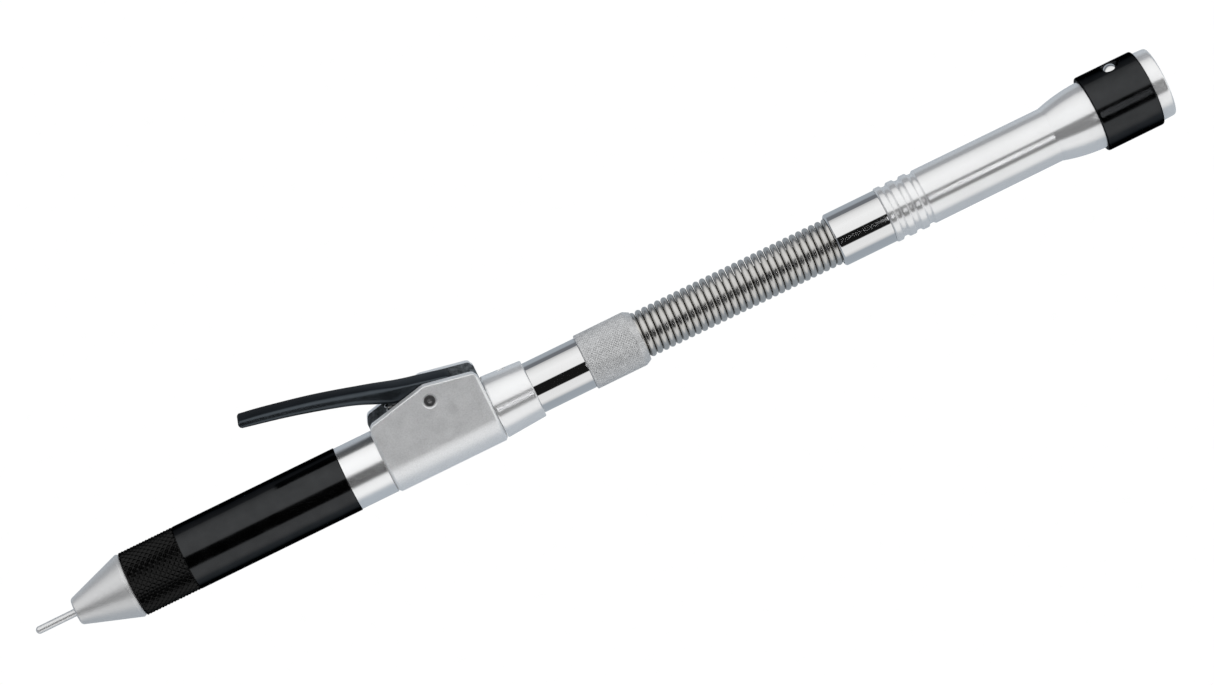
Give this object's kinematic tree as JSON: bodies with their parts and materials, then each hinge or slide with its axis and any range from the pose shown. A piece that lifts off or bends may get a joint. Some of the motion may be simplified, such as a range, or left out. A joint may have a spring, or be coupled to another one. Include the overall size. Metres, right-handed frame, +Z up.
{
  "type": "flexible shaft handpiece",
  "caption": "Slim rotary handpiece with a collet nose, a press lever that opens the collet, a bendable spring neck and a flared rear socket for a flexible drive shaft.",
  "frame": {"origin": "on the spindle axis, in the plane of the nose's front face, where the working pin leaves it", "axes": "+X along the spindle axis, out of the nose; -Y towards the lever; +Z up, out of the lever block's upper cheek, with the tool lying on its side"},
  "size_m": [0.2503, 0.0294, 0.0162],
  "materials": {
    "satin_alloy": "satin turned",
    "blasted_alloy": "fine blasted",
    "black_anodised": "satin black",
    "black_lever": "semi-gloss black",
    "chrome": "polished",
    "satin_chrome": "satin",
    "steel": "ground",
    "spring_steel": "drawn wire",
    "cage_brass": "plain",
    "white_liner": "smooth",
    "felt": "felt"
  },
  "bodies": {
    "handpiece": {"nose_cone": "satin_alloy", "dust_seal": "felt", "seal_retainer": "steel", "grip_sleeve": "black_anodised", "barrel": "satin_chrome", "lever_block": "blasted_alloy", "pivot_pin": "steel", "lever_spring": "spring_steel", "rear_collar": "satin_chrome", "rear_tube": "chrome", "spring_nut": "blasted_alloy", "outer_spring": "spring_steel", "neck_liner": "white_liner", "front_bearing_outer_race": "steel", "rear_bearing_outer_race": "steel", "preload_washer": "spring_steel", "rear_spacer": "satin_alloy"},
    "lever": {"lever": "black_lever"},
    "spindle": {"spindle": "steel", "disc_springs": "spring_steel", "drive_cable": "spring_steel", "front_bearing_inner_race": "steel", "rear_bearing_inner_race": "steel"},
    "front_ball_sets": {"front_bearing_balls": "steel", "front_bearing_cage": "cage_brass", "rear_bearing_balls": "steel", "rear_bearing_cage": "cage_brass"},
    "draw_bar": {"collet": "spring_steel", "draw_bar": "steel", "cross_pin": "steel", "release_collar": "steel"},
    "tool_pin": {"tool_pin": "steel"},
    "tail": {"rear_ferrule": "chrome", "tail_handle": "satin_alloy", "tail_spacer": "satin_alloy", "tail_bearing_outer_race": "steel", "retaining_band": "black_anodised", "end_ring": "satin_alloy"},
    "tail_shaft": {"tail_shaft": "steel", "tail_bearing_inner_race": "steel"},
    "tail_ball_set": {"tail_bearing_balls": "steel", "tail_bearing_cage": "cage_brass"},
    "detent_ball": {"detent_ball": "chrome"}
  },
  "joints": [
    {"name": "lever_press", "type": "hinge", "parent": "handpiece", "child": "lever", "pos_m": [-0.0819, -0.0085, 0], "axis": [0, 0, 1], "range_deg": [0, 18], "stiffness_Nm_per_rad": 0.15, "springref_deg": -14.32, "deforming": ["lever_spring"]},
    {"name": "spindle_spin", "type": "hinge", "parent": "handpiece", "child": "spindle", "pos_m": [0, 0, 0], "axis": [1, 0, 0], "continuous": true},
    {"name": "front_ball_orbit", "type": "hinge", "parent": "handpiece", "child": "front_ball_sets", "pos_m": [0, 0, 0], "axis": [1, 0, 0], "continuous": true},
    {"name": "collet_release", "type": "slide", "parent": "spindle", "child": "draw_bar", "axis": [-1, 0, 0], "range_m": [0, 0.00136], "deforming": ["disc_springs"]},
    {"name": "pin_draw", "type": "slide", "parent": "draw_bar", "child": "tool_pin", "axis": [1, 0, 0], "range_m": [0, 0.0155]},
    {"name": "neck_bend", "type": "hinge", "parent": "handpiece", "child": "tail", "pos_m": [-0.1468, 0, 0], "axis": [0, 0, 1], "range_deg": [-35, 35], "stiffness_Nm_per_rad": 1.2, "deforming": ["outer_spring", "neck_liner", "drive_cable"]},
    {"name": "tail_shaft_spin", "type": "hinge", "parent": "tail", "child": "tail_shaft", "pos_m": [-0.2, 0, 0], "axis": [1, 0, 0], "continuous": true},
    {"name": "tail_ball_orbit", "type": "hinge", "parent": "tail", "child": "tail_ball_set", "pos_m": [-0.2, 0, 0], "axis": [1, 0, 0], "continuous": true},
    {"name": "detent_travel", "type": "slide", "parent": "tail", "child": "detent_ball", "axis": [0, 0.9703, -0.2419], "range_m": [0, 0.00036]}
  ],
  "couplings": [
    {"joint": "front_ball_orbit", "follows": "spindle_spin", "ratio": 0.425},
    {"joint": "tail_ball_orbit", "follows": "spindle_spin", "ratio": 0.425},
    {"joint": "tail_shaft_spin", "follows": "spindle_spin", "ratio": 1},
    {"joint": "collet_release", "follows": "lever_press", "m_per_rad": 0.0043}
  ]
}
